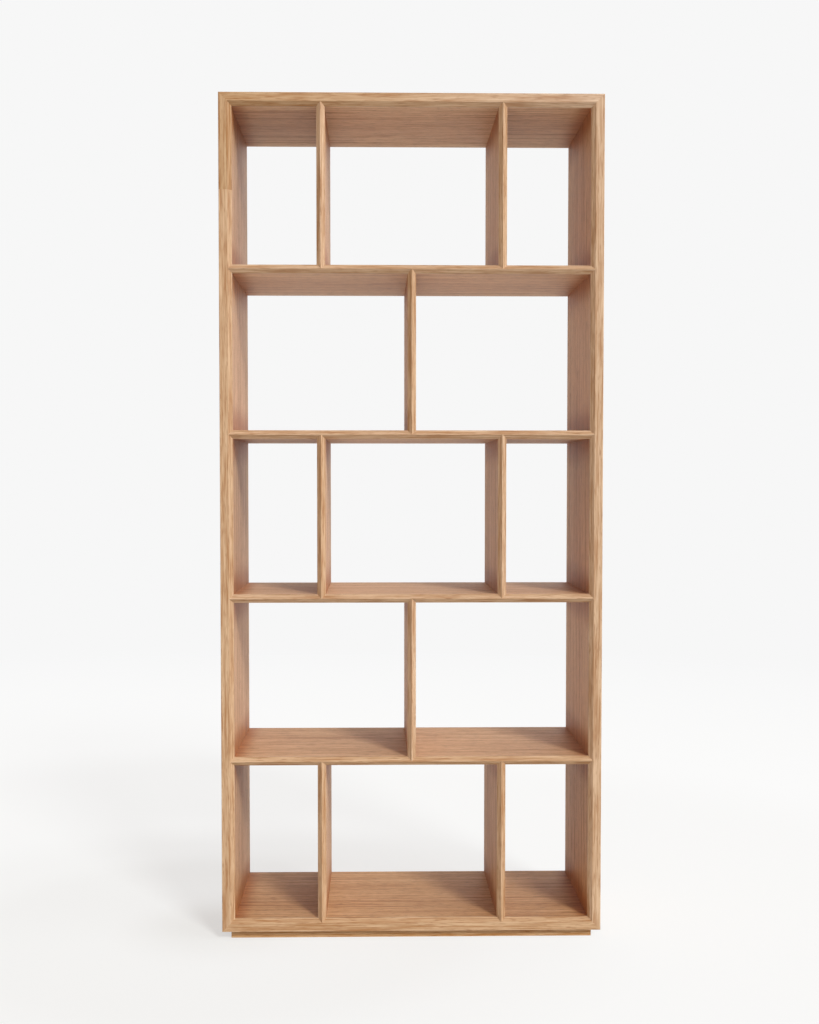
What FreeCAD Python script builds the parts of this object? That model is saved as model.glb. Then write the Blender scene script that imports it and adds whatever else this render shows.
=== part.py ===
import FreeCAD, Part
import os
import Sketcher
from types import SimpleNamespace

# An open bookcase of oak. Four boards, mitred at the corners, make its frame, which stands on
# a plinth set back all round. Four shelves make five tiers, and the dividers stand in other
# places from one tier to the next. Each board has a solid lipping in front. The lippings of the
# frame are bevelled towards the bays. Those of the shelves and dividers are nosings with a
# ridge, and their ends are scribed over the bevels that they meet. The ridges and the frame's
# outer edges are eased a little.
# The case faces -Y, and its origin is on the floor under its middle.

sizes = {
    # the case
    "overall_width": 904.0,
    "overall_depth": 400.0,
    "overall_height": 2000.0,
    "plinth_height": 20.0,
    "side_bay": 198.0,
    # boards
    "frame_thick": 30.0,
    "shelf_thick": 20.0,
    "divider_thick": 20.0,
    # lippings and nosings
    "bevel_depth": 10.0,
    "lipping_shoulder": 4.0,
    "frame_bevel": 10.0,
    "lipping_joint_drop": 225.0,
    # sharp edges taken off by hand
    "eased_edge": 1.0,
    "eased_ridge": 0.5,
    # loose tongues across the mitres
    "spline_width": 24.0,
    "spline_thick": 5.0,
    "spline_from_inside": 12.0,
    "spline_setback": 25.0,
    "spline_clearance": 0.1,
    # dowels
    "dowel_diameter": 8.0,
    "dowel_clearance": 0.2,
    "dowel_margin": 50.0,
    "dowel_end_gap": 1.0,
    "shelf_dowel_length": 40.0,
    "shelf_dowel_seat": 18.0,
    "divider_dowel_length": 36.0,
    "divider_dowel_seat": 12.0,
    # plinth and its screws
    "plinth_inset": 20.0,
    "plinth_rail_width": 30.0,
    "screw_diameter": 4.0,
    "screw_head": 8.0,
    "screw_length": 36.0,
    "screw_tip": 4.0,
    "screw_recess": 1.0,
    "screw_clearance": 0.2,
    "screw_end_gap": 1.0,
    "screw_margin": 60.0,
    # how far cuts run past what they cut
    "overrun": 5.0,
}
tier_count = 5
shelf_count = tier_count - 1
shelf_dowels_per_end = 3
divider_dowels_per_end = 2
screws_per_rail = 4
countersink_angle = 90.0
mitre_angle = 45.0
quarter_turn = 90.0
half_turn = 180.0
root_two = 2 ** 0.5

y_axis = FreeCAD.Vector(0, 1, 0)
z_axis = FreeCAD.Vector(0, 0, 1)


class Size:
    """A length, as a number and as the sheet expression that gives it."""

    def __init__(self, number, text):
        self.number = number
        self.text = text

    def joined(self, sign, other, number):
        text = other.text if isinstance(other, Size) else repr(other)
        return Size(number, f"({self.text} {sign} {text})")

    def __neg__(self):
        return Size(-self.number, f"(-{self.text})")

    def __add__(self, other):
        return self.joined("+", other, self.number + other.number)

    def __sub__(self, other):
        return self.joined("-", other, self.number - other.number)

    def __mul__(self, other):
        factor = other.number if isinstance(other, Size) else other
        return self.joined("*", other, self.number * factor)

    def __truediv__(self, other):
        divisor = other.number if isinstance(other, Size) else other
        return self.joined("/", other, self.number / divisor)


doc = FreeCAD.newDocument("bookcase")
sheet = doc.addObject("Spreadsheet::Sheet", "Sizes")
for row, (name, number) in enumerate(sizes.items(), start=1):
    sheet.set(f"A{row}", name)
    sheet.set(f"B{row}", str(number))
    sheet.setAlias(f"B{row}", name)
doc.recompute()

s = SimpleNamespace(**{name: Size(number, f"Sizes.{name}") for name, number in sizes.items()})
zero = Size(0.0, "0")
pieces = []

# Places that several pieces share
half_width = s.overall_width / 2
half_depth = s.overall_depth / 2
inner_half = half_width - s.frame_thick
lipping_depth = s.bevel_depth + s.lipping_shoulder
board_depth = s.overall_depth - lipping_depth
board_middle = lipping_depth / 2
frame_height = s.overall_height - s.plinth_height
frame_middle = s.plinth_height + frame_height / 2
tier_clear = (frame_height - s.frame_thick * 2 - s.shelf_thick * shelf_count) / tier_count
tier_pitch = tier_clear + s.shelf_thick
dowel_bore = s.dowel_diameter + s.dowel_clearance * 2
screw_bore = s.screw_diameter + s.screw_clearance * 2
screw_line = half_depth - s.plinth_inset - s.plinth_rail_width / 2
screw_grip = s.screw_recess + s.screw_length + s.screw_end_gap - s.plinth_height


def spread(count, span):
    """Places of count things, evenly over a span centred on zero."""
    return [span * (index / (count - 1) - 0.5) for index in range(count)]


def tier_floor(tier):
    """Height of the surface that bounds a tier below. The lowest tier is 0."""
    return s.plinth_height + s.frame_thick + tier_pitch * tier


def shelf_places():
    """Heights of the shelves' middles, from the lowest up."""
    return [tier_floor(tier) - s.shelf_thick / 2 for tier in range(1, tier_count)]


def divider_places(tier):
    """Names and middles of a tier's dividers: two in every other tier, one in the rest."""
    side = inner_half - s.side_bay - s.divider_thick / 2
    if tier % 2:
        return {"middle": zero}
    return {"left": -side, "right": side}


shelf_dowel_rows = spread(shelf_dowels_per_end, board_depth - s.dowel_margin * 2)
divider_dowel_rows = spread(divider_dowels_per_end, board_depth - s.dowel_margin * 2)
screw_rows = spread(screws_per_rail, (half_width - s.plinth_inset - s.screw_margin) * 2)


def place(piece, x, y, z, axis=z_axis, turn=0.0):
    """Puts a piece's own origin at a place in the case, turned about an axis."""
    base = FreeCAD.Vector(x.number, y.number, z.number)
    piece.Placement = FreeCAD.Placement(base, FreeCAD.Rotation(axis, turn))
    for letter, size in zip("xyz", (x, y, z)):
        piece.setExpression(f"Placement.Base.{letter}", size.text)


def new_body(label):
    body = doc.addObject("PartDesign::Body", label)
    pieces.append(body)
    return body


def new_sketch(body, plane, offset=zero):
    sketch = body.newObject("Sketcher::SketchObject", f"{body.Name}_sketch")
    support = next(item for item in body.Origin.OriginFeatures if item.Role == plane)
    sketch.AttachmentSupport = [(support, "")]
    sketch.MapMode = "FlatFace"
    sketch.AttachmentOffset = FreeCAD.Placement(z_axis * offset.number, FreeCAD.Rotation())
    sketch.setExpression("AttachmentOffset.Base.z", offset.text)
    return sketch


def bind_constraint(sketch, constraint, size):
    index = sketch.addConstraint(constraint)
    sketch.setExpression(f"Constraints[{index}]", size.text)


def pin_point(sketch, geometry, vertex, point):
    for kind, size in zip(("DistanceX", "DistanceY"), point):
        constraint = Sketcher.Constraint(kind, -1, 1, geometry, vertex, size.number)
        bind_constraint(sketch, constraint, size)


def draw_outline(sketch, points):
    """Draws a closed outline through points given as pairs of sizes."""
    first = sketch.GeometryCount
    count = len(points)
    corners = [FreeCAD.Vector(across.number, along.number, 0) for across, along in points]
    for index in range(count):
        sketch.addGeometry(Part.LineSegment(corners[index], corners[(index + 1) % count]))
    for index, point in enumerate(points):
        follower = first + (index + 1) % count
        sketch.addConstraint(Sketcher.Constraint("Coincident", first + index, 2, follower, 1))
        pin_point(sketch, first + index, 1, point)


def draw_circles(sketch, centres, diameter):
    for centre in centres:
        middle = FreeCAD.Vector(centre[0].number, centre[1].number, 0)
        index = sketch.addGeometry(Part.Circle(middle, z_axis, diameter.number / 2))
        bind_constraint(sketch, Sketcher.Constraint("Diameter", index, diameter.number), diameter)
        pin_point(sketch, index, 3, centre)


def pad(body, sketch, length, side="Symmetric", reverse=False):
    feature = body.newObject("PartDesign::Pad", f"{body.Name}_pad")
    feature.Profile = sketch
    feature.SideType = side
    feature.Reversed = reverse
    feature.setExpression("Length", length.text)


def cut_through(body, plane, points):
    """Cuts an outline away along the whole piece, both ways from the plane."""
    sketch = new_sketch(body, plane)
    draw_outline(sketch, points)
    feature = body.newObject("PartDesign::Pocket", f"{body.Name}_cut")
    feature.Profile = sketch
    feature.Type = "ThroughAll"
    feature.SideType = "Symmetric"


def ease_edge(body, depth, into):
    """Takes the arris off a frame member's outer long edge. The wood lies into the depth from there."""
    below = -s.overrun
    reach = s.eased_edge + s.overrun
    outside = depth - s.overrun * into
    cut_through(body, "YZ_Plane", [(depth + reach * into, below), (outside, reach), (outside, below)])


def drill(body, plane, offset, centres, diameter, depth, reverse=False):
    """Drills flat-ended holes from a plane, against its normal or, reversed, along it."""
    sketch = new_sketch(body, plane, offset)
    draw_circles(sketch, centres, diameter)
    feature = body.newObject("PartDesign::Pocket", f"{body.Name}_bores")
    feature.Profile = sketch
    feature.Reversed = reverse
    feature.setExpression("Length", depth.text)


def group(label, members):
    """Keeps like fasteners together as separate solids of one piece."""
    compound = doc.addObject("Part::Compound", label)
    compound.Links = members
    pieces.append(compound)


# Frame

def frame_outline(length):
    """A member of the frame seen from the front: its outer face lies along X, its ends mitred."""
    half = length / 2
    inner = half - s.frame_thick
    return [(-half, zero), (half, zero), (inner, s.frame_thick), (-inner, s.frame_thick)]


def groove_outline(length, end):
    """A tongue's groove in the mitre at one end of a member, square to the mitre."""
    outside = s.frame_thick - s.spline_from_inside
    wide = s.spline_thick / 2 + s.spline_clearance
    deep = s.spline_width / 2 + s.spline_clearance
    corners = [(wide, deep), (-wide, deep), (-wide, -s.overrun), (wide, -s.overrun)]
    points = []
    for along, into in corners:
        across = length / 2 - outside - (along + into) / root_two
        points.append((across * end, outside + (along - into) / root_two))
    return points


def cut_grooves(body, length):
    sketch = new_sketch(body, "XZ_Plane")
    for end in (1, -1):
        draw_outline(sketch, groove_outline(length, end))
    feature = body.newObject("PartDesign::Pocket", f"{body.Name}_grooves")
    feature.Profile = sketch
    feature.SideType = "Symmetric"
    long = board_depth - (s.spline_setback - s.spline_clearance) * 2
    feature.setExpression("Length", long.text)


def frame_board(label, length, bores, bore_depth):
    body = new_body(label)
    sketch = new_sketch(body, "XZ_Plane")
    draw_outline(sketch, frame_outline(length))
    pad(body, sketch, board_depth)
    ease_edge(body, board_depth / 2, -1)
    cut_grooves(body, length)
    drill(body, "XY_Plane", s.frame_thick, bores, dowel_bore, bore_depth)
    return body


def frame_lipping(label, outline):
    """A lipping with its face at y = 0 and a bevel along its inner front edge."""
    body = new_body(label)
    sketch = new_sketch(body, "XZ_Plane")
    draw_outline(sketch, outline)
    pad(body, sketch, lipping_depth, side="One side", reverse=True)
    rise = s.overrun * s.frame_bevel / s.bevel_depth
    above = s.frame_thick + rise
    bevel = [
        (-s.overrun, s.frame_thick - s.frame_bevel - rise),
        (s.bevel_depth + s.overrun, above),
        (-s.overrun, above),
    ]
    cut_through(body, "YZ_Plane", bevel)
    ease_edge(body, zero, 1)
    return body


def place_side(piece, y, side):
    place(piece, half_width * side, y, frame_middle, y_axis, -quarter_turn * side)


def build_frame():
    side_bores = [(place_along, row)
                  for place_along in spread(shelf_count, tier_pitch * (shelf_count - 1))
                  for row in shelf_dowel_rows]
    side_bore_depth = s.shelf_dowel_seat + s.dowel_end_gap
    for label, side in (("side_left", -1), ("side_right", 1)):
        board = frame_board(label, frame_height, side_bores, side_bore_depth)
        place_side(board, board_middle, side)

    end_bores = [(across, row)
                 for across in divider_places(0).values()
                 for row in divider_dowel_rows]
    end_bore_depth = s.divider_dowel_seat + s.dowel_end_gap
    bottom = frame_board("bottom_board", s.overall_width, end_bores, end_bore_depth)
    screw_places = [(across, place_along - board_middle)
                    for across in screw_rows
                    for place_along in (-screw_line, screw_line)]
    drill(bottom, "XY_Plane", zero, screw_places, screw_bore, screw_grip, reverse=True)
    place(bottom, zero, board_middle, s.plinth_height)
    top = frame_board("top_board", s.overall_width, end_bores, end_bore_depth)
    place(top, zero, board_middle, s.overall_height, y_axis, half_turn)


def build_frame_lippings():
    bottom = frame_lipping("bottom_lipping", frame_outline(s.overall_width))
    place(bottom, zero, -half_depth, s.plinth_height)
    top = frame_lipping("top_lipping", frame_outline(s.overall_width))
    place(top, zero, -half_depth, s.overall_height, y_axis, half_turn)
    right = frame_lipping("right_lipping", frame_outline(frame_height))
    place_side(right, -half_depth, 1)

    # the left lipping is in two lengths, and its upper end is at the start of its outline
    start, end, inner_end, inner_start = frame_outline(frame_height)
    joint = s.lipping_joint_drop - frame_height / 2
    lower_joint = [(joint, zero), (joint, s.frame_thick)]
    upper = frame_lipping("left_lipping_upper", [start, lower_joint[0], lower_joint[1], inner_start])
    place_side(upper, -half_depth, -1)
    lower = frame_lipping("left_lipping_lower", [lower_joint[0], end, inner_end, lower_joint[1]])
    place_side(lower, -half_depth, -1)


def build_splines():
    outside = s.frame_thick - s.spline_from_inside
    for level, height, up in (("bottom", s.plinth_height, 1), ("top", s.overall_height, -1)):
        for hand, side in (("left", -1), ("right", 1)):
            body = new_body(f"corner_spline_{level}_{hand}")
            sketch = new_sketch(body, "XZ_Plane")
            wide, thick = s.spline_width / 2, s.spline_thick / 2
            draw_outline(sketch, [(-wide, -thick), (wide, -thick), (wide, thick), (-wide, thick)])
            pad(body, sketch, board_depth - s.spline_setback * 2)
            turn = -mitre_angle * side * up
            place(body, (half_width - outside) * side, board_middle, height + outside * up, y_axis, turn)


# Shelves and dividers

def v_notch(thick):
    """What is cut away in front of a ridge at zero: both bevels, up to the faces, and the ridge's tip."""
    spread_share = thick / 2 / s.bevel_depth
    before, tip, back = -s.overrun, s.eased_ridge, s.bevel_depth + s.overrun
    narrow, wide = tip * spread_share, back * spread_share
    return [(tip, narrow), (back, wide), (before, wide), (before, -wide), (back, -wide), (tip, -narrow)]


def scribed_outline(low_face, low_ridge, high_face, high_ridge):
    """A nosing's side view, from front to back: the ridge reaches further than the faces."""
    return [(zero, low_ridge), (s.bevel_depth, low_face), (lipping_depth, low_face),
            (lipping_depth, high_face), (s.bevel_depth, high_face), (zero, high_ridge)]


def swapped(points):
    return [(along, across) for across, along in points]


def build_shelf(number, height):
    body = new_body(f"shelf_{number}")
    sketch = new_sketch(body, "XY_Plane")
    deep = board_depth / 2
    wide = inner_half
    draw_outline(sketch, [(-wide, -deep), (wide, -deep), (wide, deep), (-wide, deep)])
    pad(body, sketch, s.shelf_thick)
    ends = [(row, zero) for row in shelf_dowel_rows]
    end_depth = s.shelf_dowel_length - s.shelf_dowel_seat + s.dowel_end_gap
    drill(body, "YZ_Plane", inner_half, ends, dowel_bore, end_depth)
    drill(body, "YZ_Plane", -inner_half, ends, dowel_bore, end_depth, reverse=True)
    face_depth = s.divider_dowel_seat + s.dowel_end_gap
    for tier, face, below in ((number, s.shelf_thick / 2, False), (number - 1, -s.shelf_thick / 2, True)):
        bores = [(across, row)
                 for across in divider_places(tier).values()
                 for row in divider_dowel_rows]
        drill(body, "XY_Plane", face, bores, dowel_bore, face_depth, reverse=below)
    place(body, zero, board_middle, height)

    nosing = new_body(f"shelf_{number}_nosing")
    sketch = new_sketch(nosing, "XY_Plane")
    ridge = inner_half + s.frame_bevel
    draw_outline(sketch, swapped(scribed_outline(-inner_half, -ridge, inner_half, ridge)))
    pad(nosing, sketch, s.shelf_thick)
    cut_through(nosing, "YZ_Plane", v_notch(s.shelf_thick))
    place(nosing, zero, -half_depth, height)


def build_divider(tier, hand, across):
    label = f"divider_{tier + 1}_{hand}"
    height = tier_floor(tier) + tier_clear / 2
    half = tier_clear / 2
    body = new_body(label)
    sketch = new_sketch(body, "YZ_Plane")
    deep = board_depth / 2
    draw_outline(sketch, [(-deep, -half), (deep, -half), (deep, half), (-deep, half)])
    pad(body, sketch, s.divider_thick)
    bores = [(zero, row) for row in divider_dowel_rows]
    depth = s.divider_dowel_length - s.divider_dowel_seat + s.dowel_end_gap
    drill(body, "XY_Plane", half, bores, dowel_bore, depth)
    drill(body, "XY_Plane", -half, bores, dowel_bore, depth, reverse=True)
    place(body, across, board_middle, height)

    nosing = new_body(f"{label}_nosing")
    sketch = new_sketch(nosing, "YZ_Plane")
    low = half + (s.frame_bevel if tier == 0 else s.shelf_thick / 2)
    high = half + (s.frame_bevel if tier == tier_count - 1 else s.shelf_thick / 2)
    draw_outline(sketch, scribed_outline(-half, -low, half, high))
    pad(nosing, sketch, s.divider_thick)
    cut_through(nosing, "XY_Plane", swapped(v_notch(s.divider_thick)))
    place(nosing, across, -half_depth, height)


def build_shelves_and_dividers():
    for number, height in enumerate(shelf_places(), start=1):
        build_shelf(number, height)
    for tier in range(tier_count):
        for hand, across in divider_places(tier).items():
            build_divider(tier, hand, across)


# Dowels

def new_dowel(name, length):
    dowel = doc.addObject("Part::Cylinder", name)
    dowel.setExpression("Radius", (s.dowel_diameter / 2).text)
    dowel.setExpression("Height", length.text)
    return dowel


def build_dowels():
    members = []
    start = inner_half + s.shelf_dowel_seat
    for height in shelf_places():
        for row in shelf_dowel_rows:
            for side in (-1, 1):
                dowel = new_dowel("shelf_dowel", s.shelf_dowel_length)
                place(dowel, start * side, board_middle + row, height, y_axis, -quarter_turn * side)
                members.append(dowel)
    group("shelf_dowels", members)

    members = []
    for tier in range(tier_count):
        floor = tier_floor(tier)
        low = floor - s.divider_dowel_seat
        high = floor + tier_clear + s.divider_dowel_seat - s.divider_dowel_length
        for across in divider_places(tier).values():
            for row in divider_dowel_rows:
                for height in (low, high):
                    dowel = new_dowel("divider_dowel", s.divider_dowel_length)
                    place(dowel, across, board_middle + row, height)
                    members.append(dowel)
    group("divider_dowels", members)


# Plinth

def plinth_rail(label, length):
    """A rail with its outer face along X and its ends mitred on plan."""
    body = new_body(label)
    sketch = new_sketch(body, "XY_Plane")
    half = length / 2
    inner = half - s.plinth_rail_width
    outline = [(-half, zero), (half, zero), (inner, s.plinth_rail_width), (-inner, s.plinth_rail_width)]
    draw_outline(sketch, outline)
    pad(body, sketch, s.plinth_height, side="One side")
    return body


def countersink(body):
    """Holes for the screws, with seats for their heads on the underside."""
    sketch = new_sketch(body, "XY_Plane")
    draw_circles(sketch, [(across, s.plinth_rail_width / 2) for across in screw_rows], screw_bore)
    doc.recompute()
    hole = body.newObject("PartDesign::Hole", f"{body.Name}_holes")
    hole.Profile = sketch
    hole.Reversed = True
    hole.DepthType = "ThroughAll"
    hole.HoleCutType = "Countersink"
    hole.HoleCutCustomValues = True
    hole.HoleCutCountersinkAngle = countersink_angle
    hole.setExpression("Diameter", screw_bore.text)
    seat = s.screw_head + (s.screw_recess + s.screw_clearance * 2) * 2
    hole.setExpression("HoleCutDiameter", seat.text)


def build_screw(x, y):
    """A countersunk screw standing on its head."""
    body = doc.addObject("PartDesign::Body", "plinth_screw")
    sketch = new_sketch(body, "XZ_Plane")
    shank = s.screw_diameter / 2
    head = s.screw_head / 2
    profile = [(zero, zero), (head, zero), (shank, head - shank),
               (shank, s.screw_length - s.screw_tip), (zero, s.screw_length)]
    draw_outline(sketch, profile)
    feature = body.newObject("PartDesign::Revolution", "screw_turned")
    feature.Profile = sketch
    feature.ReferenceAxis = (sketch, ["V_Axis"])
    place(body, x, y, s.screw_recess)
    return body


def build_plinth():
    wide = s.overall_width - s.plinth_inset * 2
    deep = s.overall_depth - s.plinth_inset * 2
    for label, side, turn in (("plinth_front", -1, 0.0), ("plinth_back", 1, half_turn)):
        rail = plinth_rail(label, wide)
        countersink(rail)
        place(rail, zero, deep / 2 * side, zero, z_axis, turn)
    for label, side in (("plinth_left", -1), ("plinth_right", 1)):
        rail = plinth_rail(label, deep)
        place(rail, wide / 2 * side, zero, zero, z_axis, quarter_turn * side)
    group("plinth_screws", [build_screw(across, screw_line * side)
                            for across in screw_rows for side in (-1, 1)])


def check():
    """Stops at a feature that failed or a cut that removed nothing."""
    for item in doc.Objects:
        if "Invalid" in item.State or "Error" in item.State:
            raise RuntimeError(f"{item.Label} failed: {item.State}")
        if item.TypeId in ("PartDesign::Pocket", "PartDesign::Hole"):
            if item.Shape.Volume >= item.BaseFeature.Shape.Volume:
                raise RuntimeError(f"{item.Label} cuts nothing")
    for piece in pieces:
        if piece.Shape.isNull() or not piece.Shape.isValid():
            raise RuntimeError(f"{piece.Label} has no valid shape")


build_frame()
build_frame_lippings()
build_splines()
build_shelves_and_dividers()
build_dowels()
build_plinth()
doc.recompute()
check()
os.makedirs("parts", exist_ok=True)
for piece in pieces:
    piece.Shape.exportStep(f"parts/{piece.Label}.step")
print(len(pieces), "pieces written")
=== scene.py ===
import math
import bpy
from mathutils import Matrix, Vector


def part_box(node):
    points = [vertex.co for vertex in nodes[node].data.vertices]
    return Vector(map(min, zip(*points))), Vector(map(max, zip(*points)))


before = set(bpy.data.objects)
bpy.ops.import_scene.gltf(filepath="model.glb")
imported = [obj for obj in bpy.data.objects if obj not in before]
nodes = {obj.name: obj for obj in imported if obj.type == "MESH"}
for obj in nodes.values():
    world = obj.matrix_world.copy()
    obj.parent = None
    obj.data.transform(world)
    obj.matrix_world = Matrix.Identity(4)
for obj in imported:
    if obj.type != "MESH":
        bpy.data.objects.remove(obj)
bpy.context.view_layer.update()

bpy.ops.object.select_all(action="DESELECT")
print("loaded", len(nodes), "pieces")


def hexColor(code):  # sRGB hex to linear RGBA
    parts = [int(code[i:i + 2], 16) / 255 for i in (1, 3, 5)]
    linear = [p / 12.92 if p <= 0.04045 else ((p + 0.055) / 1.055) ** 2.4 for p in parts]
    return (*linear, 1.0)


def addNode(tree, kind, links=None, **settings):  # links: socket to value or to another node's output
    node = tree.nodes.new(kind)
    for name, value in settings.items():
        setattr(node, name, value)
    for name, value in (links or {}).items():
        if isinstance(value, bpy.types.NodeSocket):
            tree.links.new(value, node.inputs[name])
        else:
            node.inputs[name].default_value = value
    return node


def newMaterial(name):
    material = bpy.data.materials.new(name)
    material.use_nodes = True
    material.node_tree.nodes.clear()
    return material, material.node_tree


def perMetre(millimetres):  # how often a pattern of these sizes repeats in a metre
    return [1000 / size for size in millimetres]


def seenDirectly(tree):  # 1 for what the camera sees, also mirrored or through glass, 0 for light that falls
    path = addNode(tree, "ShaderNodeLightPath")
    seen = addNode(tree, "ShaderNodeMath", {
        0: path.outputs["Is Camera Ray"], 1: path.outputs["Is Glossy Ray"]}, operation="MAXIMUM")
    seen = addNode(tree, "ShaderNodeMath", {
        0: seen.outputs[0], 1: path.outputs["Is Transmission Ray"]}, operation="MAXIMUM")
    return seen.outputs[0]


# Wood patterns, in millimetres: along the grain, across it, and through the board. Shares add up to 1.
# Oak veneer, sliced and matt lacquered: fine straight lines, slow tone bands, leaves laid side by side.
oakVeneer = {
    "name": "oakVeneerMattLacquered",
    "pale": "#e2ba8f", "mean": "#d1a475", "deep": "#a67149", "pore": "#875d3b",
    "lines": (700, 3.4, 3.4), "lineShare": 0.56,
    "bands": (1600, 18, 18), "bandShare": 0.18,
    "fibres": (34, 2.6, 2.6), "fibreShare": 0.26,
    "pores": (22, 2.1, 2.1), "poreDark": 0.7,  # real pores are a sixth of this across, too fine to show
    "sway": 6, "swaySize": (800, 130, 130),
    "leaf": 134,
    "roughness": 0.56,
    "corners": {  # painted shade in the inner corners, where little light reaches: full and faded at these distances
        "z": {"shadeTint": "#d7b28b", "full": 15, "faded": 75},  # uprights
        "x": {"shadeTint": "#ddb895", "full": 0, "faded": 45},  # level boards
    },
}
# Solid oak, planed and matt lacquered: fine streaks with brown dashes, paler and browner stretches of wood.
solidOak = {
    "name": "solidOakPlanedMattLacquered",
    "pale": "#d3b390", "mean": "#c19d79", "deep": "#a87a4f", "pore": "#936338",
    "lines": (170, 2.8, 2.8), "lineShare": 0.52,
    "bands": (90, 8, 8), "bandShare": 0.34,
    "fibres": (34, 2.0, 2.0), "fibreShare": 0.14,
    "pores": (28, 2.4, 2.4), "poreDark": 0.6,  # coarser than real ones, as in the veneer
    "sway": 2, "swaySize": (400, 60, 60),
    "leaf": 900,
    "roughness": 0.48,
}
# Beech, turned and left raw: even and pale, with short brown flecks.
beech = {
    "name": "beechTurnedRaw",
    "pale": "#dcbb95", "mean": "#cfa87f", "deep": "#bd9068", "pore": "#a87c58",
    "lines": (120, 2.2, 2.2), "lineShare": 0.45,
    "bands": (300, 6, 6), "bandShare": 0.35,
    "fibres": (20, 0.8, 0.8), "fibreShare": 0.20,
    "pores": (4, 0.8, 0.8), "poreDark": 0.45,
    "sway": 1, "swaySize": (120, 20, 20),
    "leaf": 900,
    "roughness": 0.68,
}
# Birch plywood, sawn: thin strips, one for each ply.
plywood = {
    "name": "birchPlywoodSawn",
    "pale": "#e2c79f", "mean": "#d3b387", "deep": "#bd9768", "pore": "#9f7a4f",
    "lines": (400, 4, 4), "lineShare": 0.45,
    "bands": (500, 14, 14), "bandShare": 0.35,
    "fibres": (40, 1.2, 1.2), "fibreShare": 0.20,
    "pores": (8, 0.9, 0.9), "poreDark": 0.45,
    "sway": 2, "swaySize": (300, 50, 50),
    "leaf": 1.4,
    "roughness": 0.72,
}
# What all woods share. A noise lies mostly between 0.4 and 0.6, so the patterns are read around there.
figure = {
    "noiseRoughness": 0.6,
    "fineDetail": 2.0, "plainDetail": 1.0,  # of the streaks, and of the pores and the sway
    "palest": 0.40, "middle": 0.5, "deepest": 0.60,  # where the three colours stand
    "poreOpens": 0.57, "poreFull": 0.72,
    "leafShift": (1.7, 0, 0.37),  # metres from one leaf to the next
    "swayGain": 4,  # brings a noise, about a quarter wide, to the full sway
    "poreDip": -1.5,  # a pore's depth, times the height of the fibres
    "relief": 0.0003, "reliefShare": 0.35,  # metres, and how much of it shows
    "glossiest": 0.3, "dullest": 0.7,  # the pale wood is glossier than the deep
    "smoother": -0.04, "rougher": 0.06,  # what that adds to the roughness
    "ior": 1.5,
}
grainTurns = {  # turns the pattern so that its X runs along the grain
    "x": (0, 0, 0),
    "y": (0, 0, -math.pi / 2),
    "z": (0, math.pi / 2, 0),
}
# Pieces come from several flitches, so neighbours differ a little in figure, tone and run-out, the angle
# in degrees at which the grain leaves the edge. Drift: how much paler the wood gets in a metre of grain.
flitches = {
    "even": {"shift": (0.0, 0.0, 0.0), "tone": 1.0, "warmth": 1.0, "runOut": 0.2, "drift": 0},
    "mild": {"shift": (3.1, 1.7, 0.9), "tone": 0.98, "warmth": 1.0, "runOut": 0.6, "drift": 0},
    "pale": {"shift": (7.3, 2.9, 4.1), "tone": 1.03, "warmth": 0.95, "runOut": -0.5, "drift": 0},
    "light": {"shift": (9.4, 6.1, 2.7), "tone": 1.07, "warmth": 0.94, "runOut": 0.3, "drift": 0},
    "bleached": {"shift": (9.4, 6.1, 2.7), "tone": 1.13, "warmth": 0.88, "runOut": 0.3, "drift": 0},
    "warm": {"shift": (1.9, 4.4, 7.7), "tone": 0.95, "warmth": 1.04, "runOut": -0.3, "drift": 0},
    "brown": {"shift": (5.2, 3.3, 1.4), "tone": 0.84, "warmth": 1.11, "runOut": -0.4, "drift": 0},
    "ruddy": {"shift": (8.1, 5.6, 3.9), "tone": 0.96, "warmth": 1.16, "runOut": 0.2, "drift": 0},
    "turning": {"shift": (2.6, 8.8, 5.3), "tone": 0.97, "warmth": 1.0, "runOut": 0.2, "drift": 0.3},
}
# The bays, in metres: five tiers between the sides, the bottom board and the top board.
bays = {
    "halfWidth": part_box("side_right")[0].x,
    "floor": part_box("bottom_board")[1].z,
    "ceiling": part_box("top_board")[0].z,
    "shelf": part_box("shelf_1")[1].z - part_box("shelf_1")[0].z,
    "tier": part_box("shelf_2")[1].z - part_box("shelf_1")[1].z,
    "skin": 0.0005,  # a face this near to the bays counts as turned to them
}
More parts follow.
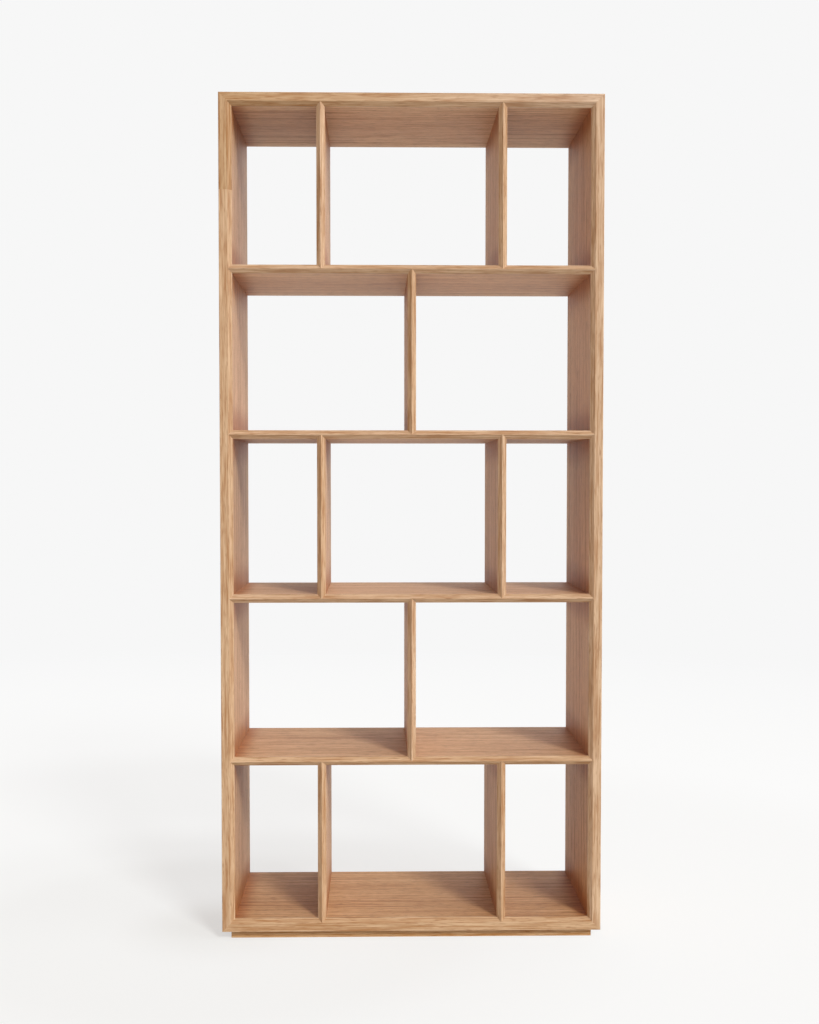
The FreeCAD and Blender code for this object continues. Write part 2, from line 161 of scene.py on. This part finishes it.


# Paints shade into a board's colour towards the inner corners, by its place on the object. Outer faces keep
# their colour.
def paintCornerShade(tree, spot, grain, corner, color):
    aside = addNode(tree, "ShaderNodeMath", {0: spot.outputs["X"]}, operation="ABSOLUTE")
    if grain == "z":  # uprights darken towards the boards above and below
        full, faded = [bays["shelf"] / 2 + corner[end] / 1000 for end in ("full", "faded")]
        raised = addNode(tree, "ShaderNodeMath", {
            0: spot.outputs["Z"], 1: bays["floor"] - bays["shelf"] / 2}, operation="SUBTRACT")
        apart = addNode(tree, "ShaderNodeMath", {
            0: raised.outputs[0], 1: bays["tier"] / 2}, operation="PINGPONG")
        inside = addNode(tree, "ShaderNodeMath", {
            0: aside.outputs[0], 1: bays["halfWidth"] + bays["skin"]}, operation="LESS_THAN")
    else:  # level boards darken towards the sides
        full, faded = [bays["halfWidth"] - corner[end] / 1000 for end in ("full", "faded")]
        apart = aside
        middle = (bays["floor"] + bays["ceiling"]) / 2
        raised = addNode(tree, "ShaderNodeMath", {0: spot.outputs["Z"], 1: middle}, operation="SUBTRACT")
        raised = addNode(tree, "ShaderNodeMath", {0: raised.outputs[0]}, operation="ABSOLUTE")
        inside = addNode(tree, "ShaderNodeMath", {
            0: raised.outputs[0], 1: bays["ceiling"] - middle + bays["skin"]}, operation="LESS_THAN")
    paintedShade = addNode(tree, "ShaderNodeMapRange", {
        "Value": apart.outputs[0], "From Min": full, "From Max": faded,
        "To Min": 1.0, "To Max": 0.0}, interpolation_type="SMOOTHSTEP")
    paintedShade = addNode(tree, "ShaderNodeMath", {
        0: paintedShade.outputs["Result"], 1: inside.outputs[0]}, operation="MULTIPLY")
    darkened = addNode(tree, "ShaderNodeMix", {
        0: paintedShade.outputs[0], 6: color, 7: hexColor(corner["shadeTint"])},
        data_type="RGBA", blend_type="MULTIPLY")
    return darkened.outputs[2]


def woodMaterial(wood, grain, flitchName):
    flitch = flitches[flitchName]
    material, tree = newMaterial(f"{wood['name']}_{grain}_{flitchName}")
    coords = addNode(tree, "ShaderNodeTexCoord")
    turnX, turnY, turnZ = grainTurns[grain]
    board = addNode(tree, "ShaderNodeMapping", {
        "Vector": coords.outputs["Object"], "Location": flitch["shift"],
        "Rotation": (turnX, turnY + math.radians(flitch["runOut"]), turnZ)})

    def streaks(place, size, detail):
        spread = addNode(tree, "ShaderNodeVectorMath", {0: place, 1: perMetre(size)}, operation="MULTIPLY")
        return addNode(tree, "ShaderNodeTexNoise", {
            "Vector": spread.outputs["Vector"], "Scale": 1.0, "Detail": detail,
            "Roughness": figure["noiseRoughness"]})

    # each leaf of veneer is shifted along its grain, so the lines don't run on from leaf to leaf
    split = addNode(tree, "ShaderNodeSeparateXYZ", {"Vector": board.outputs["Vector"]})
    leafCount = addNode(tree, "ShaderNodeMath", {
        0: split.outputs["Y"], 1: 1000 / wood["leaf"]}, operation="MULTIPLY")
    leafNumber = addNode(tree, "ShaderNodeMath", {0: leafCount.outputs[0]}, operation="FLOOR")
    leafStep = addNode(tree, "ShaderNodeCombineXYZ", {
        "X": leafNumber.outputs[0], "Z": leafNumber.outputs[0]})
    leaf = addNode(tree, "ShaderNodeVectorMath", {
        0: leafStep.outputs["Vector"], 1: figure["leafShift"], 2: board.outputs["Vector"]},
        operation="MULTIPLY_ADD")
    sway = wood["sway"] / 1000 * figure["swayGain"]
    swing = streaks(leaf.outputs["Vector"], wood["swaySize"], figure["plainDetail"])
    bent = addNode(tree, "ShaderNodeVectorMath", {
        0: swing.outputs["Color"], 1: (0, sway, sway), 2: leaf.outputs["Vector"]}, operation="MULTIPLY_ADD")
    place = bent.outputs["Vector"]

    lines = streaks(place, wood["lines"], figure["fineDetail"])
    bands = streaks(place, wood["bands"], figure["fineDetail"])
    fibres = streaks(place, wood["fibres"], figure["fineDetail"])
    pores = streaks(place, wood["pores"], figure["plainDetail"])
    depth = addNode(tree, "ShaderNodeMath", {
        0: lines.outputs["Fac"], 1: wood["lineShare"]}, operation="MULTIPLY")
    for streak, share in ((bands, wood["bandShare"]), (fibres, wood["fibreShare"])):
        depth = addNode(tree, "ShaderNodeMath", {
            0: streak.outputs["Fac"], 1: share, 2: depth.outputs[0]}, operation="MULTIPLY_ADD")
    colors = addNode(tree, "ShaderNodeValToRGB", {"Fac": depth.outputs[0]})
    ramp = colors.color_ramp
    ramp.elements[0].position, ramp.elements[1].position = figure["palest"], figure["deepest"]
    ramp.elements[0].color = hexColor(wood["pale"])
    ramp.elements[1].color = hexColor(wood["deep"])
    ramp.elements.new(figure["middle"]).color = hexColor(wood["mean"])
    hollow = addNode(tree, "ShaderNodeMapRange", {
        "Value": pores.outputs["Fac"], "From Min": figure["poreOpens"], "From Max": figure["poreFull"],
        "To Max": wood["poreDark"]})
    pored = addNode(tree, "ShaderNodeMix", {
        0: hollow.outputs["Result"], 6: colors.outputs["Color"], 7: hexColor(wood["pore"])},
        data_type="RGBA")

    # tone of the flitch, with its drift along the grain
    spot = addNode(tree, "ShaderNodeSeparateXYZ", {"Vector": coords.outputs["Object"]})
    along = spot.outputs[grain.upper()]
    paler = addNode(tree, "ShaderNodeMath", {
        0: along, 1: flitch["drift"], 2: flitch["tone"]}, operation="MULTIPLY_ADD")
    greyer = addNode(tree, "ShaderNodeMath", {
        0: along, 1: -flitch["drift"], 2: flitch["warmth"]}, operation="MULTIPLY_ADD")
    toned = addNode(tree, "ShaderNodeHueSaturation", {
        "Color": pored.outputs[2], "Value": paler.outputs[0], "Saturation": greyer.outputs[0]})
    finished = toned.outputs["Color"]
    # painted shade in the inner corners, for the woods that have it
    corner = wood.get("corners", {}).get(grain)
    if corner:
        finished = paintCornerShade(tree, spot, grain, corner, finished)

    height = addNode(tree, "ShaderNodeMath", {
        0: hollow.outputs["Result"], 1: figure["poreDip"], 2: fibres.outputs["Fac"]},
        operation="MULTIPLY_ADD")
    bump = addNode(tree, "ShaderNodeBump", {
        "Height": height.outputs[0], "Strength": figure["reliefShare"], "Distance": figure["relief"]})
    sheen = addNode(tree, "ShaderNodeMapRange", {
        "Value": depth.outputs[0], "From Min": figure["glossiest"], "From Max": figure["dullest"],
        "To Min": wood["roughness"] + figure["smoother"], "To Max": wood["roughness"] + figure["rougher"]})
    surface = addNode(tree, "ShaderNodeBsdfPrincipled", {
        "Base Color": finished, "Roughness": sheen.outputs["Result"],
        "Normal": bump.outputs["Normal"], "IOR": figure["ior"]})
    addNode(tree, "ShaderNodeOutputMaterial", {"Surface": surface.outputs["BSDF"]})
    return material


# Zinc-plated steel, rolled: grey metal, a little cloudy, with a fine grit.
zincSteel = {
    "name": "steelZincPlated",
    "bright": "#c9cbc8", "dull": "#a4a8a6",
    "clouds": (2.5, 2.5, 2.5), "gritDetail": 4.0,  # millimetres, and how fine the grit in them is
    "roughness": (0.32, 0.46),
}


def metalMaterial(metal):
    material, tree = newMaterial(metal["name"])
    coords = addNode(tree, "ShaderNodeTexCoord")
    spread = addNode(tree, "ShaderNodeVectorMath", {
        0: coords.outputs["Object"], 1: perMetre(metal["clouds"])}, operation="MULTIPLY")
    clouds = addNode(tree, "ShaderNodeTexNoise", {
        "Vector": spread.outputs["Vector"], "Scale": 1.0, "Detail": metal["gritDetail"]})
    colors = addNode(tree, "ShaderNodeValToRGB", {"Fac": clouds.outputs["Fac"]})
    colors.color_ramp.elements[0].color = hexColor(metal["dull"])
    colors.color_ramp.elements[1].color = hexColor(metal["bright"])
    smooth, rough = metal["roughness"]
    grit = addNode(tree, "ShaderNodeMapRange", {
        "Value": clouds.outputs["Fac"], "To Min": smooth, "To Max": rough})
    surface = addNode(tree, "ShaderNodeBsdfPrincipled", {
        "Base Color": colors.outputs["Color"], "Roughness": grit.outputs["Result"], "Metallic": 1.0})
    addNode(tree, "ShaderNodeOutputMaterial", {"Surface": surface.outputs["BSDF"]})
    return material


def dress(node, material):
    for slot in nodes[node].material_slots:
        slot.material = material


fittings = {  # out of sight in the joints
    "corner_spline": woodMaterial(plywood, "y", "mild"),
    "shelf_dowels": woodMaterial(beech, "x", "even"),
    "divider_dowels": woodMaterial(beech, "z", "even"),
    "plinth_screws": metalMaterial(zincSteel),
}
for name in nodes:
    for kind, material in fittings.items():
        if name.startswith(kind):
            dress(name, material)

solidWords = ("lipping", "nosing", "plinth")  # pieces of solid oak, the others are veneered
uprights = ("side", "divider", "left_lipping", "right_lipping")  # their grain stands
ownFlitch = {  # the others take those in inTurn one after another
    "side_left": "pale", "side_right": "light", "bottom_board": "warm",
    "shelf_1": "pale", "shelf_2": "pale", "shelf_3": "pale", "shelf_4": "bleached",
    "divider_2_middle": "light", "divider_5_left": "mild",
    "left_lipping_lower": "mild", "left_lipping_upper": "brown", "right_lipping": "pale",
    "top_lipping": "turning", "bottom_lipping": "warm",
    "shelf_1_nosing": "even", "shelf_2_nosing": "pale", "shelf_3_nosing": "light",
    "divider_1_right_nosing": "mild", "divider_2_middle_nosing": "pale", "divider_4_middle_nosing": "mild",
    "divider_5_left_nosing": "light", "divider_5_right_nosing": "mild",
    "plinth_front": "ruddy", "plinth_back": "ruddy", "plinth_left": "ruddy", "plinth_right": "ruddy",
}
inTurn = ["even", "mild", "pale"]
oaks = {}  # made when first needed, and shared by pieces of the same wood, grain and flitch
boards = [name for name in sorted(nodes) if not name.startswith(tuple(fittings))]
for number, name in enumerate(boards):
    low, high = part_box(name)
    longest = "x" if high.x - low.x > high.y - low.y else "y"
    grain = "z" if name.startswith(uprights) else longest
    wood = solidOak if any(word in name for word in solidWords) else oakVeneer
    flitch = ownFlitch.get(name, inTurn[number % len(inTurn)])
    oak = (wood["name"], grain, flitch)
    if oak not in oaks:
        oaks[oak] = woodMaterial(wood, grain, flitch)
    dress(name, oaks[oak])
print("dressed", len(nodes), "pieces,", len(boards), "of them in", len(oaks), "kinds of oak")

# Stage: a pale paper floor that fades into the white behind it and keeps the shadow near the object
stage = {
    "white": "#f7f7f7",
    "paper": "#ebf1f0",
    "floorSize": 18.0,
    "roomLight": "#ffe6d4", "roomLevel": 0.326,
    "darkest": (-0.48, -0.12, 0),  # beside the left foot, where the shadow is deepest
    "reach": 6.0,  # metres from there at which nothing but white is left
    "paperShare": [  # part of the reach, share lit by the lamps
        (0.01, 0.42), (0.045, 0.30), (0.09, 0.32), (0.125, 0.26),
        (0.185, 0.20), (0.30, 0.20), (0.42, 0.12), (0.9, 0.0)],
    "brightTo": (2.0, 6.0),  # metres between which the floor's white falls from full to the background's
}
white = hexColor(stage["white"])
bpy.ops.mesh.primitive_plane_add(size=stage["floorSize"], location=(0, 0, 0))
floor = bpy.context.object
floor.name = "floor"
floorMaterial, tree = newMaterial("palePaperFloor")
coords = addNode(tree, "ShaderNodeTexCoord")
away = addNode(tree, "ShaderNodeVectorMath", {
    0: coords.outputs["Object"], 1: stage["darkest"]}, operation="DISTANCE")
reached = addNode(tree, "ShaderNodeMath", {0: away.outputs["Value"], 1: stage["reach"]}, operation="DIVIDE")
litShare = addNode(tree, "ShaderNodeValToRGB", {"Fac": reached.outputs[0]})
ramp = litShare.color_ramp
ramp.interpolation = "EASE"
ramp.elements.remove(ramp.elements[1])
for number, (position, value) in enumerate(stage["paperShare"]):
    stop = ramp.elements[0] if number == 0 else ramp.elements.new(position)
    stop.position, stop.color = position, (value, value, value, 1)
whiteShare = addNode(tree, "ShaderNodeMath", {0: 1.0, 1: litShare.outputs["Color"]}, operation="SUBTRACT")
share = addNode(tree, "ShaderNodeMath", {
    0: seenDirectly(tree), 1: whiteShare.outputs[0]}, operation="MULTIPLY")
nearest, farthest = stage["brightTo"]
bright = addNode(tree, "ShaderNodeMapRange", {
    "Value": away.outputs["Value"], "From Min": nearest, "From Max": farthest,
    "To Min": 1.0, "To Max": white[0]}, interpolation_type="SMOOTHSTEP")
paper = addNode(tree, "ShaderNodeBsdfDiffuse", {"Color": hexColor(stage["paper"])})
glow = addNode(tree, "ShaderNodeEmission", {"Strength": bright.outputs["Result"]})
mixed = addNode(tree, "ShaderNodeMixShader", {
    0: share.outputs[0], 1: paper.outputs["BSDF"], 2: glow.outputs["Emission"]})
addNode(tree, "ShaderNodeOutputMaterial", {"Surface": mixed.outputs["Shader"]})
floor.data.materials.append(floorMaterial)

# Even and slightly warm room light, with white walls to be seen and mirrored
scene = bpy.context.scene
world = bpy.data.worlds.new("studio")
world.use_nodes = True
scene.world = world
tree = world.node_tree
tree.nodes.clear()
ambient = addNode(tree, "ShaderNodeBackground", {
    "Color": hexColor(stage["roomLight"]), "Strength": stage["roomLevel"]})
backdrop = addNode(tree, "ShaderNodeBackground", {"Color": white})
mixed = addNode(tree, "ShaderNodeMixShader", {
    0: seenDirectly(tree), 1: ambient.outputs["Background"], 2: backdrop.outputs["Background"]})
addNode(tree, "ShaderNodeOutputWorld", {"Surface": mixed.outputs["Shader"]})

# White suns, which light top and bottom alike: turn to the right of the front, rise and softness in
# degrees. A level of 1 lights a facing white to white.
lamps = {
    "key": {"turn": 27.0, "rise": 34.0, "softness": 13.5, "level": 0.66},
    "fill": {"turn": 75.0, "rise": 15.0, "softness": 60.0, "level": 0.45},
    "rim": {"turn": 140.0, "rise": 20.0, "softness": 60.0, "level": 0.15},
}
lampDistance = 5.0  # metres, only to keep the lamps out of the object
for name, lamp in lamps.items():
    turn, rise = math.radians(lamp["turn"]), math.radians(lamp["rise"])
    toward = Vector((math.sin(turn) * math.cos(rise), -math.cos(turn) * math.cos(rise), math.sin(rise)))
    bpy.ops.object.light_add(type="SUN", location=toward * lampDistance)
    light = bpy.context.object
    light.name = name
    light.data.angle = math.radians(lamp["softness"])
    light.data.energy = lamp["level"] * math.pi
    light.rotation_euler = toward.to_track_quat("Z", "Y").to_euler()
print("lit the stage")

# Camera, fitted to the edges of the boards in the photograph, in pixels, metres and radians
camera = {
    "focalPixels": 1376.558,
    "middlePixel": (402.155, 536.705),
    "imagePixels": (819, 1024),
    "sensor": 36.0,  # millimetres
    "place": (-0.0848, -3.4492, 1.0896),
    "down": 0.038963,
    "aside": -0.019017,
}
bpy.ops.object.camera_add(location=camera["place"])
eye = bpy.context.object
wide, tall = camera["imagePixels"]
middleX, middleY = camera["middlePixel"]
eye.data.sensor_width = camera["sensor"]
eye.data.lens = camera["focalPixels"] / tall * camera["sensor"]
eye.data.shift_x = (wide / 2 - middleX) / tall
eye.data.shift_y = (middleY - tall / 2) / tall
eye.rotation_euler = (math.pi / 2 - camera["down"], 0, camera["aside"])
scene.camera = eye
scene.view_settings.view_transform = "Standard"
print("camera set")
